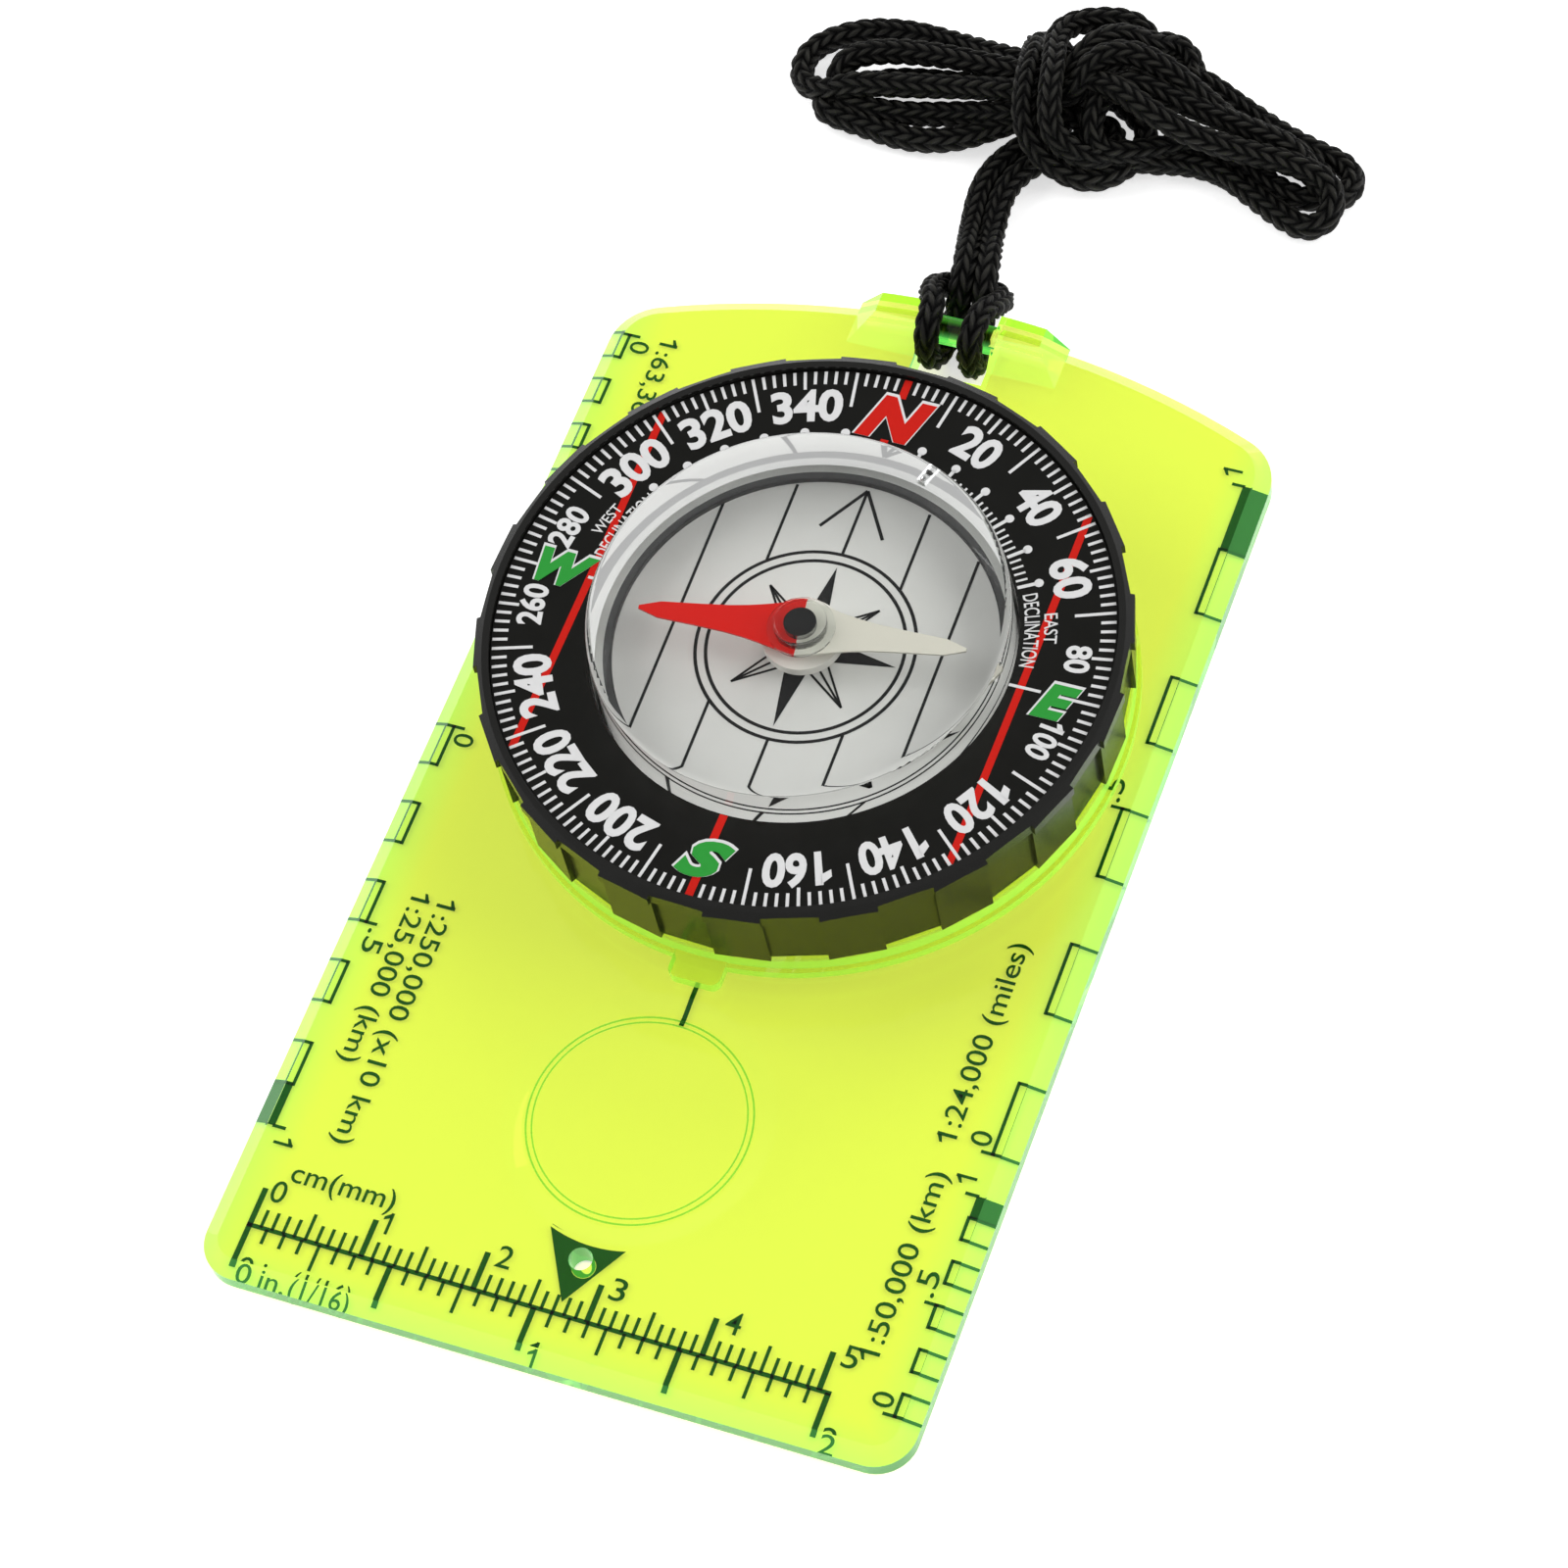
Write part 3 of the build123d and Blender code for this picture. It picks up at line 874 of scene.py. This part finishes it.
def scale_marks(bm, line_x, zero_y, step, outward):
    """The numbered ticks: each reaches a little inwards, with its number just past it."""
    ahead = math.copysign(1, step)
    text_x = line_x - 0.45 * outward
    for number, text, gap, width in (
        (0, "0", 0.45, figure_width),
        (5, ".5", 0.45, 2.25),
        (10, "1", 0.75, one_width),
    ):
        y = zero_y + number * step
        ends = (line_x - 1.0 * outward, y), (line_x + 0.2 * outward, y)
        bar(bm, *ends, thin_line, plate_ink_z)
        plate_text(bm, text, text_x, y + gap * ahead, 1.8, width, 90 * ahead)


def pointer_with_hole(bm, outline, hole, radius):
    """Solid pointer round the pencil hole: a fan of wedges from the hole's rim outwards."""
    def edge_in(direction):
        best = 0
        for a, b in zip(outline, outline[1:] + outline[:1]):
            side = b - a
            cross = direction.x * side.y - direction.y * side.x
            if abs(cross) < 1e-9:
                continue
            offset = a - hole
            far = (offset.x * side.y - offset.y * side.x) / cross
            share = (offset.x * direction.y - offset.y * direction.x) / cross
            if far > 0 and -1e-6 <= share <= 1 + 1e-6:
                best = max(best, far)
        return hole + direction * best

    angles = [math.tau * i / 48 for i in range(48)]
    angles += [math.atan2(p.y - hole.y, p.x - hole.x) % math.tau for p in outline]
    angles = sorted(set(round(a, 5) for a in angles))
    for pair in zip(angles, angles[1:] + [angles[0] + math.tau]):
        start, end = [Vector((math.cos(a), math.sin(a))) for a in pair]
        wedge = [hole + start * radius, edge_in(start), edge_in(end), hole + end * radius]
        slab(bm, wedge, plate_ink_z)


def plate_scales():
    bm = bmesh.new()
    ruler(bm)
    # a scale that runs towards the near edge has a negative unit
    for line_x, zero_y, unit, scale, outward in (
        (line_x_right, -47.74, KM, 50000, 1),
        (line_x_right, -23.86, MILE, 24000, 1),
        (line_x_left, 1.54, -KM, 25000, -1),
        (line_x_left, 44.19, -MILE, 63360, -1),
    ):
        step = unit / scale / 10
        scale_blocks(bm, line_x, zero_y, step, outward)
        scale_marks(bm, line_x, zero_y, step, outward)
    for text, x, start, end in (
        ("1:50,000 (km)", 25.65, -43.9, -26.6),
        ("1:24,000 (miles)", 25.25, -24.0, -4.9),
        ("1:25,000 (km)", -26.75, -14.5, -31.2),
        ("1:250,000 (x10 km)", -24.35, -14.5, -38.4),
        ("1:63,360", -26.6, 44.7, 34.9),
    ):
        ahead = math.copysign(1, end - start)
        plate_text(bm, text, x, start, label_height, abs(end - start), 90 * ahead)
    index_start, index_end, index_width = (-0.2, -15.9), (-0.2, -20.2), 0.42
    bar(bm, index_start, index_end, index_width, plate_ink_z)
    tip, top_radius, hole_radius = (-0.6, -46.3), 11.3, 1.02
    outline = [tip] + arc_points(top_radius, 284.5, 249.5, 10, lens_centre)
    pointer_with_hole(bm, [Vector(p) for p in outline], Vector(pencil_hole), hole_radius)
    ink = solid_from(bm, "plate_scales_print", printed("plate_ink", (0.010, 0.11, 0.06), 0.6))
    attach(ink, "plate")


plate_scales()


# ==== painted highlight rings round the magnifier =================================
def lens_steps():
    """Two narrow glowing rings just inside the rim of the lens, each lying on its curve: a painted
    highlight of the lens's rim.
    """
    bm = bmesh.new()
    for radius, width, bottom in ((9.45, 0.16, 2.08), (8.95, 0.14, 2.155)):
        ring_print(bm, radius, width, bottom, lens_centre, 128)
    # painted highlight: thin glowing rings stand in for the bright edge of the lens rim
    material = thin_fluorescent("lens_rim_highlight", (0.62, 0.88, 0.7), (0.5, 1.0, 0.3), 0.2)
    rims = solid_from(bm, "lens_steps", material)
    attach(rims, "plate")


lens_steps()


# ==== print on the turning dial ===================================================
dial_top_inner = dial_low.z / MM + 0.5      # height of the dial at its inner and outer edges
dial_top_outer = dial_high.z / MM
dial_turn = 0.55              # the dial stands this many degrees clockwise of the plate
tick_start = dial_inner + 0.05
print_edge = dial_outer - 0.1
red_lift, white_lift = 0.001, 0.02
outline_lift, letter_lift = 0.042, 0.064    # the letters' white borders, then their colour
slant = 0.3                   # of the cardinal letters


def dial_height(radius):
    share = (radius - dial_inner) / (dial_outer - dial_inner)
    return dial_top_inner + share * (dial_top_outer - dial_top_inner)


def on_dial(radius, azimuth, lift):
    """A point on the dial, in metres; azimuths in degrees run clockwise from north."""
    a = math.radians(azimuth + dial_turn)
    x = dial_x + radius * math.sin(a)
    y = dial_y + radius * math.cos(a)
    return Vector((x, y, dial_height(radius) + lift)) * MM


def dial_patch(bm, edge, lift):
    """Closed thin print on the dial: edge lists (inner, outer) pairs of (radius, azimuth)."""
    rows = []
    for pair in edge:
        spots = [on_dial(*spot, lift + h) for h in (0, ink_thick) for spot in pair]
        rows.append([bm.verts.new(spot) for spot in spots])
    for a, b in zip(rows, rows[1:]):
        bm.faces.new((a[0], b[0], b[1], a[1]))
        bm.faces.new((a[2], a[3], b[3], b[2]))
        bm.faces.new((a[1], b[1], b[3], a[3]))
        bm.faces.new((a[0], a[2], b[2], b[0]))
    first, last = rows[0], rows[-1]
    bm.faces.new((first[0], first[1], first[3], first[2]))
    bm.faces.new((last[0], last[2], last[3], last[1]))


def dial_tick(bm, azimuth, low, high, width):
    """White radial line, as wide at both ends."""
    inner, outer = math.degrees(width / 2 / low), math.degrees(width / 2 / high)
    edge = [((low, azimuth + s * inner), (high, azimuth + s * outer)) for s in (-1, 1)]
    dial_patch(bm, edge, white_lift)


def dial_chord(bm, across, width, start, end):
    """Red line parallel to north-south at a distance across, from start to end northwards."""
    pieces = 14
    edge = []
    for i in range(pieces + 1):
        along = start + (end - start) * i / pieces
        sides = (across - width / 2, across + width / 2)
        edge.append([(math.hypot(x, along), math.degrees(math.atan2(x, along))) for x in sides])
    dial_patch(bm, edge, red_lift)


def dial_dot(bm, azimuth, radius, size):
    """White round dot."""
    count = 16
    edge = []
    for i in range(count + 1):
        across = size / 2 * math.cos(math.pi * i / count)
        reach = max(0.01, size / 2 * math.sin(math.pi * i / count))
        turn = math.degrees(across / radius)
        edge.append(((radius - reach, azimuth + turn), (radius + reach, azimuth + turn)))
    dial_patch(bm, edge, white_lift)


def dial_text(bm, text, azimuth, low, high, width, bold):
    """White lettering bent round the dial, its top outwards."""
    middle = (low + high) / 2

    def place(x, y, z):
        turn = math.degrees(x / middle)
        return on_dial(low + y, azimuth + turn, white_lift + ink_thick / 2 + z)
    lettering(bm, text, place, high - low, width, bold, middle=True)


def dial_letter(bm, text, azimuth, radius, height, width, lift, bold, grow=0.0):
    """A cardinal letter, upright whatever its azimuth."""
    a = math.radians(azimuth)
    x0, y0 = radius * math.sin(a), radius * math.cos(a)

    def place(x, y, z):
        x, y = x0 + x, y0 + y - height / 2
        turn = math.degrees(math.atan2(x, y))
        return on_dial(math.hypot(x, y), turn, lift + ink_thick / 2 + z)
    lettering(bm, text, place, height + grow, width + grow * 1.3, bold, slant, middle=True)


def declination_scale(bm):
    """Dots on stems every ten degrees either side of north, with fine ticks between."""
    for sign in (-1, 1):
        for degrees in range(10, 70, 10):
            dial_dot(bm, sign * degrees, 20.25, 0.8)
            dial_tick(bm, sign * degrees, tick_start, 20.1, 0.32)
        for degrees in range(12, 60, 2):
            if degrees % 10:
                dial_tick(bm, sign * degrees, tick_start, 19.4, 0.2)


def number_width(text, digit, gap):
    """Width of a number in condensed digits; a one is narrower."""
    return sum(digit * (0.72 if c == "1" else 1) for c in text) + gap * (len(text) - 1)


def graduations(bm):
    """A tick every two degrees: the ones without a number are longest."""
    for azimuth in range(0, 360, 2):
        if azimuth % 180:
            low = 25.1 if azimuth % 10 else 22.9 if azimuth % 20 else 24.6
            dial_tick(bm, azimuth, low, 26.38, 0.28)


def numbers(bm):
    """A number every twenty degrees, smaller beside the east and west letters."""
    for number in range(20, 360, 20):
        text = str(number)
        if number == 180:
            continue
        if number in (80, 100, 260, 280):
            low, width, bold = 22.4, number_width(text, 1.26, 0.14), 0.03
        else:
            low, width, bold = 21.32, number_width(text, 1.95, 0.18), 0.036
        dial_text(bm, text, number + 0.5, low, 24.62, width, bold)


def red_lines(bm):
    """The north-south line in four parts, and a long line either side of it."""
    for start, end in (
        (tick_start, 20.2), (24.5, print_edge), (-print_edge, -24.5), (-21.0, -tick_start)
    ):
        dial_chord(bm, 0, 0.7, start, end)
    across = 19.45
    reach = math.sqrt(print_edge ** 2 - (across + 0.33) ** 2)
    for side in (-across, across):
        dial_chord(bm, side, 0.66, -reach, reach)


def dial_print():
    white, red, green = bmesh.new(), bmesh.new(), bmesh.new()
    graduations(white)
    numbers(white)
    for letter, azimuth, radius, height, width, ink in (
        ("N", 0.6, 22.35, 4.5, 6.1, red),
        ("E", 91.4, 22.75, 3.5, 3.6, green),
        ("S", 180.0, 22.8, 3.7, 4.4, green),
        ("W", 270.6, 21.75, 3.5, 5.1, green),
    ):
        dial_letter(white, letter, azimuth, radius, height, width, outline_lift, 0.085, 0.3)
        dial_letter(ink, letter, azimuth, radius, height, width, letter_lift, 0.06)
    dial_tick(white, 89.8, tick_start, 21.2, 0.27)
    dial_tick(white, 270.2, tick_start, 19.6, 0.27)
    red_lines(red)
    declination_scale(white)
    for text, azimuth, low, high, width in (
        ("EAST", 72.9, 20.35, 21.5, 2.95),
        ("DECLINATION", 73.3, 18.7, 20.0, 7.2),
        ("WEST", 286.4, 20.6, 21.6, 3.25),
        ("DECLINATION", 287.5, 19.0, 20.2, 7.2),
    ):
        dial_text(white, text, azimuth, low, high, width, 0.006)
    for bm, name, colour in (
        (white, "dial_white_print", (0.76, 0.76, 0.76)),
        (red, "dial_red_print", (0.62, 0.012, 0.006)),
        (green, "dial_green_print", (0.03, 0.33, 0.045)),
    ):
        ink = solid_from(bm, name, printed(name, colour))
        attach(ink, "bezel")


dial_print()


# ==== print on the capsule's floor ================================================
rose_z = cavity_floor + 0.004
rose_circles = (9.4, 8.5)
rose_clear = 9.5              # the orienting lines stop at this radius
rose_turn = 0.5               # degrees anticlockwise


def star_point(azimuth, radius):
    """A point on the capsule's floor, in millimetres; azimuths run clockwise from north."""
    a = math.radians(azimuth)
    return (dial_x + radius * math.sin(a), dial_y + radius * math.cos(a))


def kite(bm, azimuth, tip, waist, waist_radius):
    """A solid point of the star, with its waist this many degrees either side."""
    centre, top = star_point(azimuth, 0.05), star_point(azimuth, tip)
    slab(bm, [centre, top, star_point(azimuth - waist, waist_radius)], rose_z)
    slab(bm, [centre, star_point(azimuth + waist, waist_radius), top], rose_z)


def rose_line(bm, start, end, width=0.26):
    """A line between two points measured from the capsule's centre."""
    centre = Vector((dial_x, dial_y))
    bar(bm, centre + Vector(start), centre + Vector(end), width, rose_z)


def rose_print():
    """Two circles with an eight-pointed star, the orienting lines and the north arrow."""
    bm = bmesh.new()
    for radius in rose_circles:
        ring_print(bm, radius, 0.3, rose_z, (dial_x, dial_y))
    for azimuth in range(0, 360, 90):
        kite(bm, azimuth, 8.1, 24, 2.5)
        diagonal = azimuth + 45
        tip = star_point(diagonal, 7.0)
        for turn, radius in ((-24, 2.3), (24, 2.3), (0, 2.0)):
            bar(bm, star_point(diagonal + turn, radius), tip, 0.2, rose_z)
    for x, reach in ((-11.7, 11.8), (11.5, 11.8), (-6.1, 15.2), (5.95, 15.2)):
        if abs(x) > rose_clear:
            rose_line(bm, (x, -reach), (x, reach))
        else:
            gap = math.sqrt(rose_clear ** 2 - x ** 2)
            for sign in (-1, 1):
                rose_line(bm, (x, sign * gap), (x, sign * reach))
    rose_line(bm, (0, rose_clear), (0, 16.0))
    rose_line(bm, (0, -rose_clear), (0, -15.8))
    for side in (-2.85, 2.85):
        rose_line(bm, (side, 11.7), (0, 16.1), 0.3)
    ink = solid_from(bm, "rose_print", printed("rose_ink", (0.012, 0.012, 0.012)))
    there, spin = Matrix.Translation(dial_centre), Matrix.Rotation(math.radians(rose_turn), 4, "Z")
    ink.data.transform(there @ spin @ there.inverted())
    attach(ink, "capsule")


rose_print()


# ==== floor and light =============================================================
floor_drop = 0.2         # keeps the floor clear of the object's underside


def make_floor():
    bm = bmesh.new()
    bmesh.ops.create_grid(bm, x_segments=1, y_segments=1, size=3)
    material, tree, shader = new_material("pale_floor")
    settle(shader, Base_Color=(0.9, 0.9, 0.9, 1), Roughness=0.9, Specular_IOR_Level=0.0)
    settle(shader, Emission_Color=(1, 1, 1, 1), Emission_Strength=0.6)
    floor = solid_from(bm, "floor", material)
    floor.location.z = -floor_drop * MM


def make_lights():
    """A white room, brighter at its sides than overhead, and three softboxes."""
    softbox_size = 0.6
    world = bpy.data.worlds.new("studio")
    bpy.context.scene.world = world
    world.use_nodes = True
    tree = world.node_tree
    background = tree.nodes["Background"]
    background.inputs["Color"].default_value = (1, 1, 1, 1)
    direction = tree.nodes.new("ShaderNodeTexCoord").outputs["Generated"]
    height = parts_of(tree, direction)["Z"]
    link(tree, ramp(tree, height, 0.75, 0.27, 0.35, 0.7), background.inputs["Strength"])
    for name, place, power in (
        ("softbox_left", (-0.75, 0.05, 0.55), 4.1),
        ("softbox_right", (0.75, 0.25, 0.55), 4.1),
        ("softbox_back", (0.1, 0.95, 0.55), 3.6),
    ):
        data = bpy.data.lights.new(name, "AREA")
        data.shape = "SQUARE"
        data.size = softbox_size
        data.energy = power
        lamp = bpy.data.objects.new(name, data)
        lamp.location = place
        lamp.rotation_euler = (Vector(place) * -1).to_track_quat("-Z", "Y").to_euler()
        lamp.visible_glossy = False
        collection.objects.link(lamp)


make_floor()
make_lights()
bpy.context.scene.view_settings.view_transform = "Standard"
